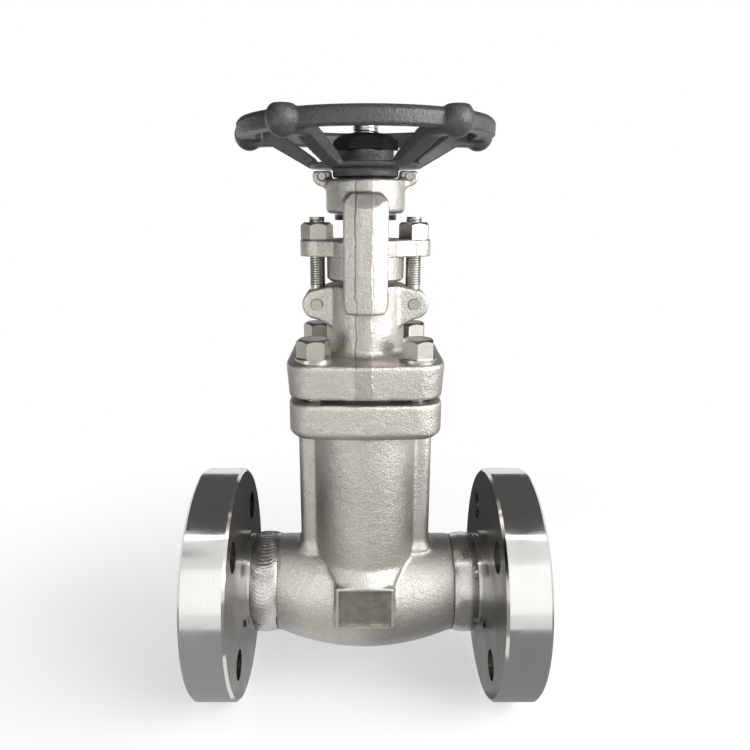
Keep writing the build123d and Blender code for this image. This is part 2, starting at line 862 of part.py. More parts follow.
# Gland: round collar with a nose that reaches down on to the packing
with BuildPart() as gland:
    with BuildSketch(stem_section):
        with BuildLine():
            Polyline(
                (stem_hole_r, packing_end_z),
                (box_r - run_fit, packing_end_z),
                (box_r - run_fit, gland_bottom_z),
                (gland_r - gland_chamfer, gland_bottom_z),
                (gland_r, gland_bottom_z + gland_chamfer),
                (gland_r, gland_top_z),
                (stem_hole_r, gland_top_z),
                close=True,
            )
        make_face()
    revolve(axis=stem_axis)
gland.part.label = "gland"
export_step(gland.part, "parts/gland.step")

# Gland flange: long plate with round ends, slotted for the eyebolts
with BuildPart() as gland_flange:
    with BuildSketch(level(gland_top_z)):
        with BuildLine():
            Polyline(
                (-eyebolt_x, -gland_flange_end_r),
                (0, -gland_flange_mid_r),
                (eyebolt_x, -gland_flange_end_r),
                (eyebolt_x, gland_flange_end_r),
                (0, gland_flange_mid_r),
                (-eyebolt_x, gland_flange_end_r),
                close=True,
            )
        make_face()
        Circle(gland_flange_mid_r)
        with Locations((-eyebolt_x, 0), (eyebolt_x, 0)):
            Circle(gland_flange_end_r)
    extrude(amount=gland_flange_height)
    chamfer(faces().sort_by(Axis.Z)[-1].edges(), gland_flange_edge)
    with BuildSketch(level(gland_top_z)):
        Circle(gland_flange_hole_r)
        with Locations((-eyebolt_x, 0), (eyebolt_x, 0)):
            Circle(eyebolt_slot_r)
    extrude(amount=gland_flange_height, mode=Mode.SUBTRACT)
gland_flange.part.label = "gland_flange"
export_step(gland_flange.part, "parts/gland_flange.step")

# Eyebolts, their pins and the gland nuts, left and right
for side, name, nut_turn in ((-1, "left", gland_nut_turns[0]), (1, "right", gland_nut_turns[1])):
    with BuildPart() as eyebolt:
        with BuildSketch(stem_section):
            with Locations((side * eyebolt_x, eyebolt_pin_z)):
                Circle(eye_r)
        extrude(amount=eye_half_width, both=True)
        with BuildSketch(level(eyebolt_pin_z)):
            with Locations((side * eyebolt_x, 0)):
                Circle(eyebolt_r)
        extrude(amount=eyebolt_top_z - eyebolt_pin_z)
        with BuildSketch(stem_section):
            with Locations((side * eyebolt_x, eyebolt_pin_z)):
                Circle(ear_pin_r)
        extrude(amount=eye_half_width, both=True, mode=Mode.SUBTRACT)
    eyebolt.part.label = "eyebolt_" + name
    export_step(eyebolt.part, "parts/eyebolt_" + name + ".step")

    with BuildPart() as eyebolt_pin:
        with BuildSketch(stem_section):
            with Locations((side * eyebolt_x, eyebolt_pin_z)):
                Circle(ear_pin_r)
        extrude(amount=ear_half_depth, both=True)
        for end in (-1, 1):
            with BuildSketch(stem_section.offset(end * ear_half_depth)):
                with Locations((side * eyebolt_x, eyebolt_pin_z)):
                    Circle(ear_pin_head_r)
            extrude(amount=end * ear_pin_head_height)
    eyebolt_pin.part.label = "eyebolt_pin_" + name
    export_step(eyebolt_pin.part, "parts/eyebolt_pin_" + name + ".step")

    nut_blank = hexagon_blank((side * eyebolt_x, 0), gland_nut_flats, gland_flange_top_z, gland_nut_height)
    with BuildPart() as gland_nut:
        with BuildSketch(level(gland_flange_top_z)):
            with Locations(Location((side * eyebolt_x, 0), nut_turn)):
                RegularPolygon(gland_nut_flats / 2, hex_sides, major_radius=False)
        extrude(amount=gland_nut_height)
        add(nut_blank, mode=Mode.INTERSECT)
        with BuildSketch(level(gland_flange_top_z)):
            with Locations((side * eyebolt_x, 0)):
                Circle(eyebolt_r)
        extrude(amount=gland_nut_height, mode=Mode.SUBTRACT)
    gland_nut.part.label = "gland_nut_" + name
    export_step(gland_nut.part, "parts/gland_nut_" + name + ".step")

# Pins in the two small lugs at the top of the yoke
with BuildPart() as lug_pins:
    with BuildSketch(stem_section):
        with Locations((-lug_x, lug_z), (lug_x, lug_z)):
            Circle(lug_pin_r)
    extrude(amount=lug_half_depth + lug_pin_stand, both=True)
lug_pins.part.label = "lug_pins"
export_step(lug_pins.part, "parts/lug_pins.step")

# Thrust washer between the yoke boss and the collar of the yoke nut
with BuildPart() as thrust_washer:
    with BuildSketch(level(boss_bottom_z - thrust_washer_height)):
        Circle(yoke_collar_r)
        Circle(yoke_barrel_r + run_fit, mode=Mode.SUBTRACT)
    extrude(amount=thrust_washer_height)
thrust_washer.part.label = "thrust_washer"
export_step(thrust_washer.part, "parts/thrust_washer.step")

# Yoke nut: collar under the boss, round barrel, hexagon, threaded end
with BuildPart() as yoke_nut:
    with BuildSketch(level(yoke_collar_top_z - yoke_collar_height)):
        Circle(yoke_collar_r)
    extrude(amount=yoke_collar_height)
    with BuildSketch(level(yoke_collar_top_z)):
        Circle(yoke_barrel_r)
    extrude(amount=hub_bottom_z - yoke_collar_top_z)
    with BuildSketch(level(hub_bottom_z)):
        RegularPolygon(wheel_hex_flats / 2, hex_sides, major_radius=False)
    extrude(amount=hub_top_z - hub_bottom_z)
    with BuildSketch(level(hub_top_z)):
        Circle(yoke_thread_r)
    extrude(amount=yoke_nut_top_z - hub_top_z)
    with Locations(level(yoke_nut_top_z)):
        Hole(stem_r + run_fit)
yoke_nut.part.label = "yoke_nut"
export_step(yoke_nut.part, "parts/yoke_nut.step")

# Handwheel: hub with a round web, rising spokes, flat-bottomed rim, a knob on each spoke end
with BuildPart() as handwheel:
    with BuildSketch(stem_section):
        with BuildLine():
            Polyline(
                (rim_mid_r - rim_half_depth, rim_bottom_z),
                (rim_mid_r + rim_half_depth, rim_bottom_z),
                (rim_mid_r + rim_half_depth, rim_top_z - rim_round),
                (rim_mid_r + rim_half_depth - rim_round, rim_top_z),
                (rim_mid_r - rim_half_depth + rim_round, rim_top_z),
                (rim_mid_r - rim_half_depth, rim_top_z - rim_round),
                close=True,
            )
        make_face()
    revolve(axis=stem_axis)
    for number in range(wheel_arms):
        turn = wheel_turn + number * full_turn / wheel_arms
        along = Vector(1, 0, 0).rotate(Axis.Z, turn)
        across = Vector(0, -1, 0).rotate(Axis.Z, turn)
        with BuildSketch(Plane(origin=(stem_x, 0, 0), x_dir=along, z_dir=across)):
            with BuildLine():
                Polyline(
                    (spoke_start_r, spoke_low_z),
                    (spoke_flat_r, spoke_low_z),
                    (spoke_knee_r, spoke_high_z),
                    (spoke_end_r, spoke_high_z),
                    (spoke_end_r, spoke_high_top_z),
                    (spoke_knee_r, spoke_high_top_z),
                    (spoke_flat_r, spoke_low_top_z),
                    (spoke_root_r, web_top_z),
                    (spoke_start_r, web_top_z),
                    close=True,
                )
            make_face()
        extrude(amount=spoke_half_width, both=True)
    with BuildSketch(stem_section):
        with BuildLine():
            Polyline(
                (0, hub_bottom_z),
                (hub_lower_r, hub_bottom_z),
                (hub_lower_r, spoke_low_z),
                (spoke_flat_r - web_edge, spoke_low_z),
                (spoke_flat_r, spoke_low_z + web_edge),
                (spoke_flat_r, web_top_z),
                (hub_upper_r, web_top_z),
                (hub_upper_r, hub_top_z),
                (0, hub_top_z),
                close=True,
            )
        make_face()
    revolve(axis=stem_axis)
    with Locations(level(lobe_centre_z)):
        with PolarLocations(lobe_circle_r, wheel_arms, start_angle=wheel_turn):
            Sphere(lobe_r)
    with BuildSketch(level(lobe_top_z)):
        Circle(cut_reach)
        Circle(rim_mid_r - rim_half_depth, mode=Mode.SUBTRACT)
    extrude(amount=2 * lobe_r, mode=Mode.SUBTRACT)
    with BuildSketch(level(hub_bottom_z)):
        RegularPolygon(wheel_hex_flats / 2, hex_sides, major_radius=False)
    extrude(amount=hub_top_z - hub_bottom_z, mode=Mode.SUBTRACT)
handwheel.part.label = "handwheel"
export_step(handwheel.part, "parts/handwheel.step")

# Handwheel nut: hexagon under a wide cone
with BuildPart() as handwheel_nut:
    with BuildSketch(level(hub_top_z)):
        RegularPolygon(wheel_nut_flats / 2, hex_sides, major_radius=False)
    extrude(amount=wheel_nut_height)
    with BuildSketch(stem_section):
        with BuildLine():
            Polyline(
                (0, hub_top_z),
                (wheel_nut_corner_r, hub_top_z),
                (wheel_nut_corner_r, hub_top_z + wheel_nut_side_height),
                (wheel_nut_dome_r, hub_top_z + wheel_nut_height),
                (0, hub_top_z + wheel_nut_height),
                close=True,
            )
        make_face()
    revolve(axis=stem_axis, mode=Mode.INTERSECT)
    with Locations(level(hub_top_z + wheel_nut_height)):
        Hole(yoke_thread_r)
handwheel_nut.part.label = "handwheel_nut"
export_step(handwheel_nut.part, "parts/handwheel_nut.step")
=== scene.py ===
# %% [markdown]
# # Bellows-sealed stop valve
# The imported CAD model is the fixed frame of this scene: it says where every piece is and which
# body it moves with. This script gives each piece its finish, adds the small shapes that
# CAD leaves out, and sets up a plain studio. Everything is in metres.

# %% Load the frame
import bpy
import math
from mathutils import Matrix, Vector


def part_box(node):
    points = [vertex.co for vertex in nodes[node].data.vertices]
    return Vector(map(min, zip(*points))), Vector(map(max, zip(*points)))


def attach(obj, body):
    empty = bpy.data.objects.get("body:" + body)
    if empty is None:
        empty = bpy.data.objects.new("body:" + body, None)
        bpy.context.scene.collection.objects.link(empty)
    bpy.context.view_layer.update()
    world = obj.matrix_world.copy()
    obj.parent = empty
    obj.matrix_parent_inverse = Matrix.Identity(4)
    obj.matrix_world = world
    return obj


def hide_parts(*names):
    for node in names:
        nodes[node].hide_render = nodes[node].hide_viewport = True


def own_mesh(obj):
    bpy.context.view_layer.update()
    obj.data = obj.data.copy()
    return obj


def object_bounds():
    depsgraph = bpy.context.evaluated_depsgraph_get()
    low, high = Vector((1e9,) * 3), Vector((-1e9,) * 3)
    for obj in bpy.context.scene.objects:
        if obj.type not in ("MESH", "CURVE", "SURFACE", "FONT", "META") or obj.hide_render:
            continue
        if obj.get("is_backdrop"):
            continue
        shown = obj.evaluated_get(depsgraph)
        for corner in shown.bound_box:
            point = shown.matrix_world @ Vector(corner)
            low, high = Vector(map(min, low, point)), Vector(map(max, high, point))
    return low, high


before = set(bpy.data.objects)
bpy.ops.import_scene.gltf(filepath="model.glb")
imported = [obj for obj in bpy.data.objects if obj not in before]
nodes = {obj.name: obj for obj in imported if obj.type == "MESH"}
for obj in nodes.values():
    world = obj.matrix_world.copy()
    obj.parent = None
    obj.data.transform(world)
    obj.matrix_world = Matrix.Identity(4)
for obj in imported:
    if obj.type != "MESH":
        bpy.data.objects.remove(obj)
cad_low, cad_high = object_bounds()
stem_low, stem_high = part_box("stem")
stem_x = stem_low.x / 2 + stem_high.x / 2
print("CAD nodes:", len(nodes), "stem axis at x =", round(stem_x, 4))


# %% [markdown]
# ## Small helpers
# An operator works on whatever is selected, and loading a model leaves it selected. So each
# step starts by clearing the selection and picking one object. A finished piece has its place,
# turn and scale applied, because its patterns count from the world's origin.

# %% Selecting and applying
def pick(piece):
    """Selects one object alone and makes it the active one."""
    bpy.ops.object.select_all(action="DESELECT")
    piece.select_set(True)
    bpy.context.view_layer.objects.active = piece


def edit(piece):
    """Opens one object in edit mode with everything in it selected."""
    pick(piece)
    bpy.ops.object.mode_set(mode="EDIT")
    bpy.ops.mesh.select_all(action="SELECT")


def done():
    """Leaves edit mode."""
    bpy.ops.object.mode_set(mode="OBJECT")


def modify(piece, kind, **settings):
    """Adds a modifier with its settings and applies it at once."""
    pick(piece)
    modifier = piece.modifiers.new(kind.title(), kind)
    for name, value in settings.items():
        setattr(modifier, name, value)
    bpy.ops.object.modifier_apply(modifier=modifier.name)


def cut(point, normal):
    """Cuts off what lies beyond a plane, in edit mode, and closes the cut."""
    bpy.ops.mesh.select_all(action="SELECT")
    bpy.ops.mesh.bisect(plane_co=point, plane_no=normal, use_fill=True, clear_outer=True)


# %% Copying and finishing a piece
def copy_of(mesh, name):
    """New object with its own copy of a mesh."""
    piece = bpy.data.objects.new(name, mesh.copy())
    bpy.context.scene.collection.objects.link(piece)
    return piece


def merged_copy(node, name):
    """Copy of a CAD node with its loose triangles merged into one skin."""
    merge_distance = 0.000002
    piece = copy_of(nodes[node].data, name)
    edit(piece)
    bpy.ops.mesh.remove_doubles(threshold=merge_distance)
    done()
    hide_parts(node)
    return piece


def settle(piece, name, body, material, sharp=None):
    """Freezes a finished piece in place and gives it its name, body, slot and finish."""
    pick(piece)
    bpy.ops.object.transform_apply(location=True, rotation=True, scale=True)
    if sharp is None:
        bpy.ops.object.shade_smooth()
    else:
        bpy.ops.object.shade_smooth_by_angle(angle=math.radians(sharp))
    piece.name = name
    piece.data.name = name
    piece.data.materials.clear()
    piece.data.materials.append(material)
    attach(piece, body)
    print(name, "has", len(piece.data.polygons), "faces")
    return piece


# %% [markdown]
# ## Colours and nodes
# Colours are written as they look on a screen, in sRGB hex, and turned to the linear values
# that the shaders use. One function adds a node, sets it up and fills or links its inputs.
# An input may be a number, a hex colour, a socket, or a node, which then gives its first output.

# %% Colour and node helpers
MIX_A, MIX_B = 6, 7  # the two colour sockets of a Mix node


def colour(code):
    """Linear colour of an sRGB hex code such as c0c0c0."""
    parts = [int(code[i:i + 2], 16) / 255 for i in (0, 2, 4)]
    return [p / 12.92 if p <= 0.04045 else ((p + 0.055) / 1.055) ** 2.4 for p in parts] + [1.0]


def feed(tree, socket, value):
    """Sets an input socket, or links it to another socket or to a node's first output."""
    if isinstance(value, bpy.types.Node):
        value = next(output for output in value.outputs if output.enabled)
    if isinstance(value, bpy.types.NodeSocket):
        tree.links.new(value, socket)
    else:
        socket.default_value = colour(value) if isinstance(value, str) else value


def add_node(tree, kind, inputs=None, **settings):
    """Adds a node with its settings and its inputs."""
    node = tree.nodes.new(kind)
    for name, value in settings.items():
        setattr(node, name, value)
    for socket, value in (inputs or {}).items():
        feed(tree, node.inputs[socket], value)
    return node


def per_mm(size):
    """Noise scale that gives patches of about this size in millimetres."""
    return 1000 / size


# %% Starting and closing a finish
def new_finish(name):
    """New material with its node tree, its shader and its Object coordinates."""
    material = bpy.data.materials.new(name)
    material.use_nodes = True
    tree = material.node_tree
    shader = tree.nodes["Principled BSDF"]
    place = add_node(tree, "ShaderNodeTexCoord").outputs["Object"]
    return material, tree, shader, place


def dress(tree, shader, tone, rough, metallic, height, strength, depth):
    """Gives the shader its colour, roughness and metal, and a bump of a depth in metres."""
    bump = add_node(tree, "ShaderNodeBump", {
        "Height": height, "Strength": strength, "Distance": depth})
    feed(tree, shader.inputs["Base Color"], tone)
    feed(tree, shader.inputs["Roughness"], rough)
    feed(tree, shader.inputs["Normal"], bump)
    shader.inputs["Metallic"].default_value = metallic


# %% [markdown]
# ## Forged stainless steel, shot-blasted and pickled
# The body and bonnet are hot forgings cleaned by blasting. That leaves a matt warm grey skin
# with fine pits, shallow dents and faint clouds. Three sizes of noise carry it. The pits are
# about 1 mm, drawn a little coarser than the real ones so that they show.

# %% Skin of a blasted forging
def blasted_skin(tree, place):
    """Colour, roughness and height of blasted steel, and the dents in it."""
    pits = add_node(tree, "ShaderNodeTexNoise", {
        "Vector": place, "Scale": per_mm(0.9), "Detail": 3.0, "Roughness": 0.65})
    dents = add_node(tree, "ShaderNodeTexNoise", {
        "Vector": place, "Scale": per_mm(4.0), "Detail": 2.0})
    clouds = add_node(tree, "ShaderNodeTexNoise", {
        "Vector": place, "Scale": per_mm(26), "Detail": 3.0})
    skin = add_node(tree, "ShaderNodeMix", {
        "Factor": pits, MIX_A: "938f89", MIX_B: "d8d4ce"}, data_type="RGBA")
    tint = add_node(tree, "ShaderNodeMapRange", {
        "Value": clouds, "From Min": 0.3, "From Max": 0.7, "To Min": 0.9, "To Max": 1.06})
    skin = add_node(tree, "ShaderNodeVectorMath", {0: skin, "Scale": tint}, operation="SCALE")
    rough = add_node(tree, "ShaderNodeMapRange", {
        "Value": pits, "From Min": 0.3, "From Max": 0.7, "To Min": 0.52, "To Max": 0.36})
    height = add_node(tree, "ShaderNodeMath", {0: dents, 1: 0.8, 2: pits},
                      operation="MULTIPLY_ADD")
    return skin, rough, height, dents


# %% [markdown]
# ## Two marks on the forgings
# The die's parting line on the yoke arms was ground away, which left a smooth strip with a wavy
# edge. The sunk floor of the panel is coloured darker as painted shade of the recess. Both are
# masks:
# a number that is 1 on the mark and falls to 0 over a short distance beside it.

# %% Masks
def distances(tree, place, centre):
    """How far a point is from a centre along X, Y and Z."""
    away = add_node(tree, "ShaderNodeVectorMath", {0: place, 1: centre}, operation="SUBTRACT")
    away = add_node(tree, "ShaderNodeVectorMath", {0: away}, operation="ABSOLUTE")
    return add_node(tree, "ShaderNodeSeparateXYZ", {"Vector": away}).outputs


def fade(tree, limits):
    """1 where every value is on the full side of its limits, and 0 past the other side."""
    mask = 1.0
    for value, full, none in limits:
        step = add_node(tree, "ShaderNodeMapRange", {
            "Value": value, "From Min": full, "From Max": none, "To Min": 1.0, "To Max": 0.0},
            interpolation_type="SMOOTHSTEP")
        mask = add_node(tree, "ShaderNodeMath", {0: mask, 1: step}, operation="MULTIPLY")
    return mask


# %% Ground strip and painted shade in the sunk panel
def ground_strip(tree, place):
    """Mask and colour of the ground strip down the front and back of the yoke."""
    away = distances(tree, place, (stem_x - 0.0008, 0, 0))
    wave = add_node(tree, "ShaderNodeTexNoise", {
        "Vector": place, "Scale": per_mm(7), "Detail": 3.0})
    aside = add_node(tree, "ShaderNodeMath", {0: wave, 1: 0.0035, 2: away["X"]},
                     operation="MULTIPLY_ADD")
    mask = fade(tree, [(aside, 0.00575, 0.00655), (away["Y"], 0.018, 0.0165)])
    # The grinder's strokes run along the arm, so the noise is stretched upright.
    strokes = add_node(tree, "ShaderNodeMapping", {"Vector": place, "Scale": (1.0, 1.0, 0.12)})
    strokes = add_node(tree, "ShaderNodeTexNoise", {
        "Vector": strokes, "Scale": per_mm(0.8), "Detail": 2.0})
    tone = add_node(tree, "ShaderNodeMix", {
        "Factor": strokes, MIX_A: "94908a", MIX_B: "bab6b0"}, data_type="RGBA")
    return mask, tone


def sunk_panel(tree, place, dents):
    """Mask and colour of the painted shade on the panel's floor, on the front of the belly."""
    away = distances(tree, place, (stem_x, -0.0600, 0.0018))
    mask = fade(tree, [(away["X"], 0.0150, 0.0156), (away["Y"], 0.0275, 0.0278),
                       (away["Z"], 0.0114, 0.0120)])
    # Painted shade: the sunk floor is coloured darker, standing in for the shade in the recess.
    tone = add_node(tree, "ShaderNodeMix", {
        "Factor": dents, MIX_A: "67635c", MIX_B: "98948c"}, data_type="RGBA")
    return mask, tone


# %% Forged steel finish
def forged_steel(name, mark=None):
    """Blasted steel, plain, with the ground strip, or with the painted shade of the sunk panel."""
    material, tree, shader, place = new_finish(name)
    skin, rough, height, dents = blasted_skin(tree, place)
    if mark == "strip":
        mask, tone = ground_strip(tree, place)
        height = add_node(tree, "ShaderNodeMath", {0: mask, 1: 0.9, 2: height},
                          operation="MULTIPLY_ADD")
    # The panel mark is painted shade: a darker colour on the recessed floor.
    if mark == "panel":
        mask, tone = sunk_panel(tree, place, dents)
    if mark:
        skin = add_node(tree, "ShaderNodeMix", {
            "Factor": mask, MIX_A: skin, MIX_B: tone}, data_type="RGBA")
    dress(tree, shader, skin, rough, 1.0, height, strength=0.8, depth=0.00042)
    return material


# The body carries the painted shade on its sunk panel.
body_steel = forged_steel("forged_stainless_body", "panel")
bonnet_steel = forged_steel("forged_stainless_bonnet", "strip")
plate_steel = forged_steel("forged_stainless_plate")
print("forged finishes ready")


# %% [markdown]
# ## Turned stainless steel
# The flanges are finished on a lathe. The tool leaves fine grooves round the pipe axis: rings
# at one x on the rim, and rings at one radius on the faces. Adding x and the radius gives one
# number that runs across the grooves on both, and a one-dimensional noise of it makes them.
# Real grooves are about half as wide, too fine to show. The flat faces are made rougher, and their
# colour is darker as a painted reflection of the shaded ground behind: the surface's own Normal
# tells them from the rim.

# %% Faces darkened as a painted reflection
def faced(tree, tone, rough, grooves):
    """Colour and roughness that turn darker, as a painted reflection, and rougher on the flat
    faces across X.
    """
    normal = add_node(tree, "ShaderNodeTexCoord").outputs["Normal"]
    facing = distances(tree, normal, (0, 0, 0))["X"]
    mask = fade(tree, [(facing, 0.97, 0.9)])
    # Painted reflection: the flat faces are coloured darker, standing in for the shaded ground
    # they mirror.
    dark = add_node(tree, "ShaderNodeMix", {
        "Factor": grooves, MIX_A: "56534f", MIX_B: "8d8a86"}, data_type="RGBA")
    tone = add_node(tree, "ShaderNodeMix", {
        "Factor": mask, MIX_A: tone, MIX_B: dark}, data_type="RGBA")
    rough = add_node(tree, "ShaderNodeMath", {0: mask, 1: 0.24, 2: rough},
                     operation="MULTIPLY_ADD")
    return tone, rough


# %% Turned steel finish
def turned_steel(name, low, high, roughness, groove, depth, axis):
    """Steel turned about X, or about the stem's axis Z, with grooves of a width in mm."""
    material, tree, shader, place = new_finish(name)
    if axis == "Z":
        place = add_node(tree, "ShaderNodeMapping", {
            "Vector": place, "Location": (-stem_x, 0, 0)}).outputs["Vector"]
    along, side_a, side_b = {"X": "XYZ", "Z": "ZXY"}[axis]
    parts = add_node(tree, "ShaderNodeSeparateXYZ", {"Vector": place}).outputs
    flat = add_node(tree, "ShaderNodeCombineXYZ", {"X": parts[side_a], "Y": parts[side_b]})
    radius = add_node(tree, "ShaderNodeVectorMath", {0: flat}, operation="LENGTH")
    across = add_node(tree, "ShaderNodeMath", {0: parts[along], 1: radius}, operation="ADD")
    grooves = add_node(tree, "ShaderNodeTexNoise", {
        "W": across, "Scale": per_mm(groove), "Detail": 4.0, "Roughness": 0.7},
        noise_dimensions="1D")
    clouds = add_node(tree, "ShaderNodeTexNoise", {
        "Vector": place, "Scale": per_mm(18), "Detail": 2.0})
    tone = add_node(tree, "ShaderNodeMix", {
        "Factor": grooves, MIX_A: low, MIX_B: high}, data_type="RGBA")
    rough = add_node(tree, "ShaderNodeMapRange", {
        "Value": clouds, "From Min": 0.3, "From Max": 0.7,
        "To Min": roughness - 0.04, "To Max": roughness + 0.06})
    # The flanges' flat faces get the painted dark reflection.
    if axis == "X":
        tone, rough = faced(tree, tone, rough, grooves)
    dress(tree, shader, tone, rough, 1.0, grooves, strength=0.35, depth=depth)
    return material


# Rims and faces of the flanges, bright enough to mirror the studio.
flange_steel = turned_steel("turned_stainless", "c4c2bf", "e6e4e1",
                            roughness=0.13, groove=0.35, depth=0.00002, axis="X")
# The stem is ground after turning, so it is as smooth but a little greyer.
stem_steel = turned_steel("ground_stem_steel", "a9a6a1", "cac7c2",
                          roughness=0.2, groove=0.4, depth=0.00002, axis="Z")
print("turned finishes ready")


# %% [markdown]
# ## Grained metals
# Bolts, nuts, the wheel and the weld share one recipe with other numbers: a colour broken by
# fine noise, a roughness in broad patches, and a bump whose scale is the grain of that surface.

# %% Grained metal finish
def grained(name, low, high, metallic, roughness, grain, depth):
    """Metal or paint with a grain of a size in mm and of a depth in metres."""
    material, tree, shader, place = new_finish(name)
    fine = add_node(tree, "ShaderNodeTexNoise", {
        "Vector": place, "Scale": per_mm(grain), "Detail": 4.0, "Roughness": 0.6})
    broad = add_node(tree, "ShaderNodeTexNoise", {
        "Vector": place, "Scale": per_mm(12), "Detail": 2.0})
    tone = add_node(tree, "ShaderNodeMix", {
        "Factor": fine, MIX_A: low, MIX_B: high}, data_type="RGBA")
    rough = add_node(tree, "ShaderNodeMapRange", {
        "Value": broad, "From Min": 0.3, "From Max": 0.7,
        "To Min": roughness - 0.05, "To Max": roughness + 0.07})
    dress(tree, shader, tone, rough, metallic, fine, strength=0.5, depth=depth)
    return material


# %% Wheel, nuts, bolts, weld and seals
# Sand-cast iron under thin dark paint: the sand's grain stays and catches small lights.
wheel_iron = grained("painted_cast_iron", "1d1d1d", "484848",
                     metallic=0.0, roughness=0.36, grain=1.4, depth=0.0009)
# Black oxide is a thin oiled layer on steel: near black, with a weak shine.
nut_oxide = grained("black_oxide_steel", "070808", "131414",
                    metallic=0.0, roughness=0.3, grain=0.8, depth=0.0001)
nut_oxide.node_tree.nodes["Principled BSDF"].inputs["Specular IOR Level"].default_value = 0.22
# Machined stainless bolts: flat faces with a soft shine.
bolt_steel = grained("machined_stainless_bolt", "8f8b85", "bcb8b1",
                     metallic=1.0, roughness=0.32, grain=0.7, depth=0.00008)
# Weld metal froze from liquid and is brushed clean: brighter than the forging beside it.
weld_steel = grained("stainless_weld", "a09d99", "d8d5d0",
                     metallic=1.0, roughness=0.24, grain=1.6, depth=0.0001)
# Pressed graphite: dark grey with a dull shine.
gasket_graphite = grained("graphite", "1d1d1f", "3a3a3d",
                          metallic=0.3, roughness=0.55, grain=0.8, depth=0.0001)
# The seat and disc are hard-faced and lapped.
seat_steel = grained("hard_faced_steel", "9a9996", "c4c3c0",
                     metallic=1.0, roughness=0.22, grain=0.6, depth=0.00003)
print("grained finishes ready")


# %% [markdown]
# ## Finishes on the CAD nodes
# A node whose shape is right stays and only changes its material slot.

# %% Dress the CAD nodes
finishes = {
    "inlet_flange": flange_steel, "outlet_flange": flange_steel,
    "inlet_weld": weld_steel, "outlet_weld": weld_steel,
    "body": body_steel, "bonnet": bonnet_steel,
    "gland": plate_steel, "gland_flange": plate_steel,
    "bonnet_bolts": bolt_steel, "bonnet_washers": bolt_steel,
    "eyebolt_left": bolt_steel, "eyebolt_right": bolt_steel,
    "gland_nut_left": bolt_steel, "gland_nut_right": bolt_steel,
    "eyebolt_pin_left": bolt_steel, "eyebolt_pin_right": bolt_steel,
    "lug_pins": bolt_steel, "thrust_washer": bolt_steel,
    "stem": stem_steel, "stem_key": bolt_steel, "packing_washer": bolt_steel,
    "seat_ring": seat_steel, "disc": seat_steel, "disc_nut": stem_steel,
    "bellows": stem_steel, "bellows_bottom_ring": stem_steel, "bellows_top_ring": stem_steel,
    "yoke_nut": nut_oxide, "handwheel": wheel_iron, "handwheel_nut": nut_oxide,
}
for name, node in nodes.items():
    # What isn't in the list is a gasket or a packing ring.
    node.data.materials.clear()
    node.data.materials.append(finishes.get(name, gasket_graphite))
print("dressed", len(nodes), "nodes")


# %% [markdown]
# ## Soft edges of forgings and castings
# A forging die and a sand mould can't make a sharp corner. A bevel would fail on the many small
# faces of these shapes, so a merged copy of the CAD node is rebuilt in small voxels and smoothed,
# which rounds every edge by a millimetre or two. The voxels also fuse any piece joined to it.

# %% Softened copies
def softened(node, name, body, material, voxel, passes, added=()):
    """Copy of a CAD node, and of pieces added to it, with rounded edges."""
    piece = merged_copy(node, name)
    for part in added:
        part.select_set(True)
    if added:
        bpy.ops.object.join()
    modify(piece, "REMESH", mode="VOXEL", voxel_size=voxel)
    modify(piece, "SMOOTH", factor=0.5, iterations=passes)
    return settle(piece, name, body, material)


# %% [markdown]
# ## Apron between the barrel and the panel
# The lower end of the barrel flares into the panel's top border, between two slanted edges.
# Pulling the body's own mesh about would tear it, so the apron is a piece of its own that the
# voxels fuse with the body: a slice of a cone, cut by a plane on each side and one behind.

# %% Apron
apron_low_r = 0.0351
apron_high_r = 0.0309
apron_height = 0.0090
apron_middle_z = 0.0193
apron_side = 0.0168
apron_side_z = 0.0148
apron_slant = math.radians(33.1)
apron_back = -0.018
bpy.ops.object.select_all(action="DESELECT")
bpy.ops.mesh.primitive_cone_add(vertices=96, radius1=apron_low_r, radius2=apron_high_r,
                                depth=apron_height, location=(stem_x, 0, apron_middle_z))
apron = bpy.context.object
bpy.ops.object.transform_apply(location=True)
edit(apron)
for side in (-1, 1):
    cut((stem_x + side * apron_side, 0, apron_side_z),
        (side * math.cos(apron_slant), 0, -math.sin(apron_slant)))
cut((0, apron_back, 0), (0, 1, 0))
done()
print("apron has", len(apron.data.polygons), "faces")

# %% [markdown]
# ## The forged and cast pieces
# A voxel has to be smaller than the thinnest edge that should stay, and each halving makes four
# times the faces. So the large body gets the coarsest voxels and the gland plate the finest.

# %% Forgings and castings
softened("body", "body_forging", "valve_body", body_steel,
         voxel=0.00105, passes=5, added=[apron])
softened("bonnet", "bonnet_forging", "valve_body", bonnet_steel,
         voxel=0.0009, passes=4)
softened("handwheel", "handwheel_casting", "wheel", wheel_iron,
         voxel=0.0007, passes=6)
softened("gland_flange", "gland_plate", "valve_body", plate_steel,
         voxel=0.0005, passes=6)


# %% [markdown]
# ## Bellows
# The bellows is thin corrugated steel, welded to a fixed ring above and to the stem below. If
# it rode on the stem, its top would push through the bonnet as the valve opens. The real one
# shortens like a spring, so the piece rides on the body, as a mesh of its own.

# %% Bellows that rides on the body
folds = merged_copy("bellows", "bellows_folds")
settle(folds, "bellows_folds", "valve_body", stem_steel, sharp=40)
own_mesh(folds)


# %% [markdown]
# ## Weld bead
# A hand-laid bead is a row of overlapping pools, each one set down a little further round the
# pipe. A bump in the material could draw them, but real ridges also catch the light at the
# pipe's edge. One flat half pool is modelled, copied round the seam, and the copies are joined.

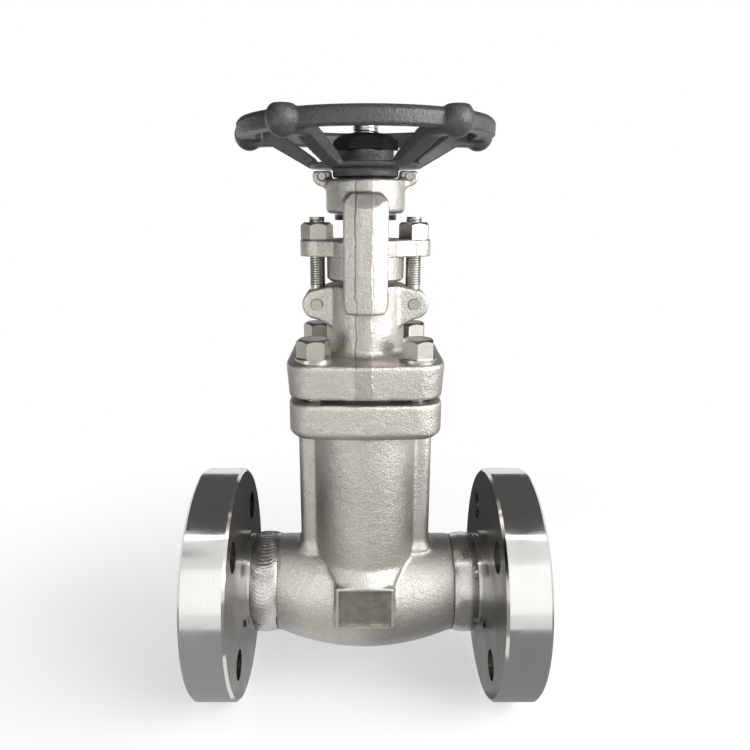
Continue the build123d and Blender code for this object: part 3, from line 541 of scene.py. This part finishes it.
# %% Weld ripples
def weld_ripples(name, seam_x, first, last, step):
    """Row of pools round the pipe, from one angle to another, in degrees from the front."""
    pool_half = (0.0082, 0.0004, 0.0090)
    pool_top = 0.0003
    seam_radius = 0.0294
    bpy.ops.object.select_all(action="DESELECT")
    bpy.ops.mesh.primitive_uv_sphere_add(segments=24, ring_count=12, radius=1, scale=pool_half)
    pool = bpy.context.object
    bpy.ops.object.transform_apply(scale=True)
    edit(pool)
    cut((0, 0, pool_top), (0, 0, 1))
    done()
    pools = []
    for number in range(int((last - first) / step)):
        turn = math.radians(first + number * step)
        ripple = copy_of(pool.data, name)
        ripple.location = (seam_x, -seam_radius * math.cos(turn), seam_radius * math.sin(turn))
        ripple.rotation_euler = (-turn, 0, 0)
        pools.append(ripple)
    bpy.data.objects.remove(pool)
    pick(pools[0])
    for ripple in pools:
        ripple.select_set(True)
    bpy.ops.object.join()
    return settle(bpy.context.object, name, "valve_body", weld_steel)


seam_from_stem = 0.060
weld_ripples("inlet_weld_bead", stem_x - seam_from_stem, first=-8, last=300, step=4.6)


# %% [markdown]
# ## Threads
# A bump could suggest a thread, but here it shows in the outline of the rod. So it is modelled,
# as a small section that a Screw modifier winds round the rod, with its ends filled. The
# eyebolts have fine right-hand threads with a sharp crest, so their section is a diamond. The
# stem's thread is left-hand, so that it rises when the wheel opens, and it has a flat crest and
# a pitch of 3 mm. It goes on inside the nut, because the stem brings it up.

# %% Thread coils
def thread(name, centre_x, radius, start, end, pitch, body, material, sides=4, hand=1):
    """Coil round an upright rod; hand is 1 for right and -1 for left."""
    section_half = pitch * 0.46
    section_squash = 0.6
    bpy.ops.object.select_all(action="DESELECT")
    bpy.ops.mesh.primitive_circle_add(vertices=sides, radius=section_half, location=(0, 0, 0))
    coil = bpy.context.object
    edit(coil)
    if sides > 4:
        # Half a side's turn puts a flat side, and not a corner, at the crest.
        bpy.ops.transform.rotate(value=math.pi / sides, orient_axis="Z", center_override=(0, 0, 0))
    bpy.ops.transform.rotate(value=math.radians(90), orient_axis="X", center_override=(0, 0, 0))
    bpy.ops.transform.resize(value=(section_squash, 1, 1), center_override=(0, 0, 0))
    bpy.ops.transform.translate(value=(radius, 0, start + pitch / 2))
    done()
    turns = int((end - start) / pitch) - 1
    modify(coil, "SCREW", angle=hand * math.radians(360), screw_offset=pitch, iterations=turns,
           steps=28, render_steps=28, use_merge_vertices=True, merge_threshold=0.00001)
    edit(coil)
    bpy.ops.mesh.select_all(action="DESELECT")
    bpy.ops.mesh.select_non_manifold()
    bpy.ops.mesh.edge_face_add()
    bpy.ops.mesh.select_all(action="SELECT")
    bpy.ops.mesh.normals_make_consistent(inside=False)
    done()
    coil.location = (centre_x, 0, 0)
    return settle(coil, name, body, material, sharp=30)


# %% Threads of the eyebolts and the stem
eyebolt_thread_start = 0.183
eyebolt_end_gap = 0.0004
for side in ("left", "right"):
    low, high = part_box("eyebolt_" + side)
    thread("eyebolt_thread_" + side, (low.x + high.x) / 2, radius=0.0039,
           start=eyebolt_thread_start, end=high.z - eyebolt_end_gap, pitch=0.00125,
           body="valve_body", material=bolt_steel)
thread("stem_thread", stem_x, radius=0.00585, start=0.2492, end=0.2674, pitch=0.003,
       body="spindle", material=stem_steel, sides=8, hand=-1)


# %% [markdown]
# ## Floor and world
# The valve stands on a pale floor in a white world. Both are white for what the camera sees,
# straight or mirrored in the metal, and darker for soft light, so that the object isn't washed
# out. Light Path tells the kinds of ray apart. Near the valve the floor stays plain paper, so
# that it keeps the shadow, and further out it fades to white.

# %% Rays that show the background
def shown_ray(tree):
    """1 for what the camera sees, straight, mirrored or through glass, and 0 for soft light."""
    path = add_node(tree, "ShaderNodeLightPath").outputs
    mirrored = add_node(tree, "ShaderNodeMath", {
        0: path["Is Glossy Ray"], 1: path["Is Transmission Ray"]}, operation="MAXIMUM")
    return add_node(tree, "ShaderNodeMath", {
        0: path["Is Camera Ray"], 1: mirrored}, operation="MAXIMUM")


# %% Floor
floor_size = 8
floor_z = cad_low.z - 0.0002
bpy.ops.object.select_all(action="DESELECT")
bpy.ops.mesh.primitive_plane_add(size=floor_size, location=(stem_x, 0, floor_z))
floor = bpy.context.object
floor.name = "floor"
floor_paper, tree, shader, place = new_finish("pale_floor")
shader.inputs["Base Color"].default_value = colour("f4f4f4")
shader.inputs["Roughness"].default_value = 1.0
shader.inputs["Specular IOR Level"].default_value = 0.0
away = add_node(tree, "ShaderNodeVectorMath", {0: place}, operation="LENGTH")
far = add_node(tree, "ShaderNodeMapRange", {
    "Value": away, "From Min": 0.14, "From Max": 0.45, "To Min": 0.5, "To Max": 1.0},
    interpolation_type="SMOOTHSTEP")
glow = add_node(tree, "ShaderNodeEmission", {"Strength": 1.0})
share = add_node(tree, "ShaderNodeMath", {0: far, 1: shown_ray(tree)}, operation="MULTIPLY")
paper = add_node(tree, "ShaderNodeMixShader", {0: share, 1: shader, 2: glow})
feed(tree, tree.nodes["Material Output"].inputs["Surface"], paper)
floor.data.materials.append(floor_paper)
floor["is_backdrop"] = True
print("floor ready")

# %% World
world = bpy.data.worlds.new("studio")
bpy.context.scene.world = world
world.use_nodes = True
tree = world.node_tree
strength = add_node(tree, "ShaderNodeMapRange", {
    "Value": shown_ray(tree), "To Min": 0.45, "To Max": 1.0})
background = tree.nodes["Background"]
feed(tree, background.inputs["Strength"], strength)
background.inputs["Color"].default_value = (1, 1, 1, 1)
print("world ready")


# %% [markdown]
# ## Lamps and cards
# A large lamp on the right lights the valve, and a small one on the left, a wide one in front
# and a narrow strip above fill in. Turned steel shows little of its own colour: it mirrors
# the room. So grey cards stand where the grey bands of the rims look: above, to the left and
# flat, just over the floor. They show in reflections alone, with no shadow and no soft light.

# %% Lamp and card helpers
middle = (stem_x, 0, 0.1)


def aim(thing):
    """Turns a lamp or card to face the middle of the valve."""
    thing.rotation_euler = (Vector(middle) - thing.location).to_track_quat("-Z", "Y").to_euler()


def lamp(name, place, size, power):
    """Soft lamp that lights the valve but isn't seen itself."""
    bpy.ops.object.light_add(type="AREA", location=place)
    light = bpy.context.object
    light.name = name
    light.data.shape = "RECTANGLE"
    light.data.size, light.data.size_y = size
    light.data.energy = power
    light.visible_camera = False
    aim(light)


def card(name, place, size, shade, flat=False):
    """Grey card that only mirrors in the metal; a flat one lies level."""
    bpy.ops.mesh.primitive_plane_add(size=1, location=place)
    plane = bpy.context.object
    plane.name = name
    plane.scale = (size[0], size[1], 1)
    if not flat:
        aim(plane)
    paint, _, shader, _ = new_finish(name)
    shader.inputs["Base Color"].default_value = colour("000000")
    shader.inputs["Specular IOR Level"].default_value = 0.0
    shader.inputs["Emission Color"].default_value = colour(shade)
    shader.inputs["Emission Strength"].default_value = 1.0
    plane.data.materials.append(paint)
    plane.visible_camera = False
    plane.visible_diffuse = False
    plane.visible_shadow = False
    plane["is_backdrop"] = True


# %% Set up the lamps and cards
lamp("lamp_right", (0.95, -0.55, 0.5), size=(0.9, 0.8), power=19.0)
lamp("lamp_left", (-0.45, -0.65, 0.1), size=(0.25, 0.2), power=1.2)
lamp("lamp_front", (0.35, -1.5, 0.6), size=(1.8, 1.3), power=3.0)
lamp("lamp_strip", (0.1, -0.36, 1.0), size=(1.6, 0.025), power=1.6)
card("card_top", (0.1, 0.5, 1.1), (3.0, 2.7), "5c5c5c")
card("card_left", (-0.68, -0.15, 0.6), (1.35, 1.0), "141414")
table_z = cad_low.z + 0.0008
card("card_table_left", (-0.385, -0.19, table_z), (0.83, 0.345), "a6a6a6", flat=True)
card("card_table_right", (0.5, -0.19, table_z), (0.8, 0.345), "949494", flat=True)
card("card_table_back", (0.1, 0.35, table_z), (1.2, 0.6), "5a5a5a", flat=True)
print("lamps and cards ready")


# %% [markdown]
# ## Camera
# The camera stands where the photograph was taken: about 38 cm in front of the stem and
# 22 cm above the pipe, looking 16 degrees down. The lens comes from the focal length in pixels,
# and the shift moves the picture without turning the camera, as the photograph's crop did.

# %% Place the camera
picture_px = 750
focal_px = 681.2
sensor_mm = 36
look_down = 16.15
camera_place = (stem_x - 0.0031, -0.3801, 0.2245)
bpy.ops.object.camera_add(location=camera_place,
                          rotation=(math.radians(90 - look_down), 0, 0))
camera = bpy.context.object
camera.data.sensor_width = sensor_mm
camera.data.lens = focal_px / picture_px * sensor_mm
camera.data.shift_x = 0.0204
camera.data.shift_y = 0.0405
camera.data.clip_start = 0.01
camera.data.clip_end = 50
bpy.context.scene.camera = camera
bpy.context.scene.view_settings.view_transform = "Standard"
print("camera lens is", round(camera.data.lens, 1), "mm")


# %% [markdown]
# ## Sizes
# The finished model's box is set beside the CAD model's, and how far it grew is printed. The
# finished model may not outgrow the CAD model.

# %% Sizes and finish
low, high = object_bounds()
growth = [round(1000 * (a - b), 2) for a, b in zip([*low, *high], [*cad_low, *cad_high])]
print("box grew by", growth, "mm")
